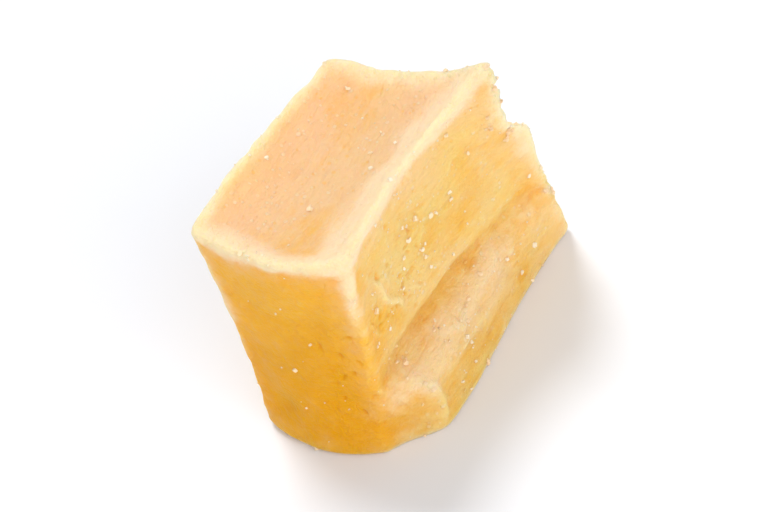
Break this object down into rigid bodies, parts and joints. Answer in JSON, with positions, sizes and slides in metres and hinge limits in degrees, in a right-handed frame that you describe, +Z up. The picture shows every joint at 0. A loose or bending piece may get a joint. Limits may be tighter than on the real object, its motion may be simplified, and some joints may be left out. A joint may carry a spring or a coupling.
{
  "type": "mango cube",
  "caption": "Cube of dried mango: one knife-cut chunk of fruit flesh with sunken faces, raised rims and a torn lip along one side, resting on its flat base.",
  "frame": {"origin": "middle of the bounding box's bottom, in the plane of the flat base that the piece rests on", "axes": "+Z up from the base; Y along the piece's longest side, front to back; X from the smooth left side to the right side with the torn lip"},
  "size_m": [0.0086, 0.0148, 0.0124],
  "materials": {
    "dried_flesh": "satin, slightly translucent, dusted with sugar"
  },
  "bodies": {
    "root": {"mango_cube": "dried_flesh"}
  },
  "joints": []
}
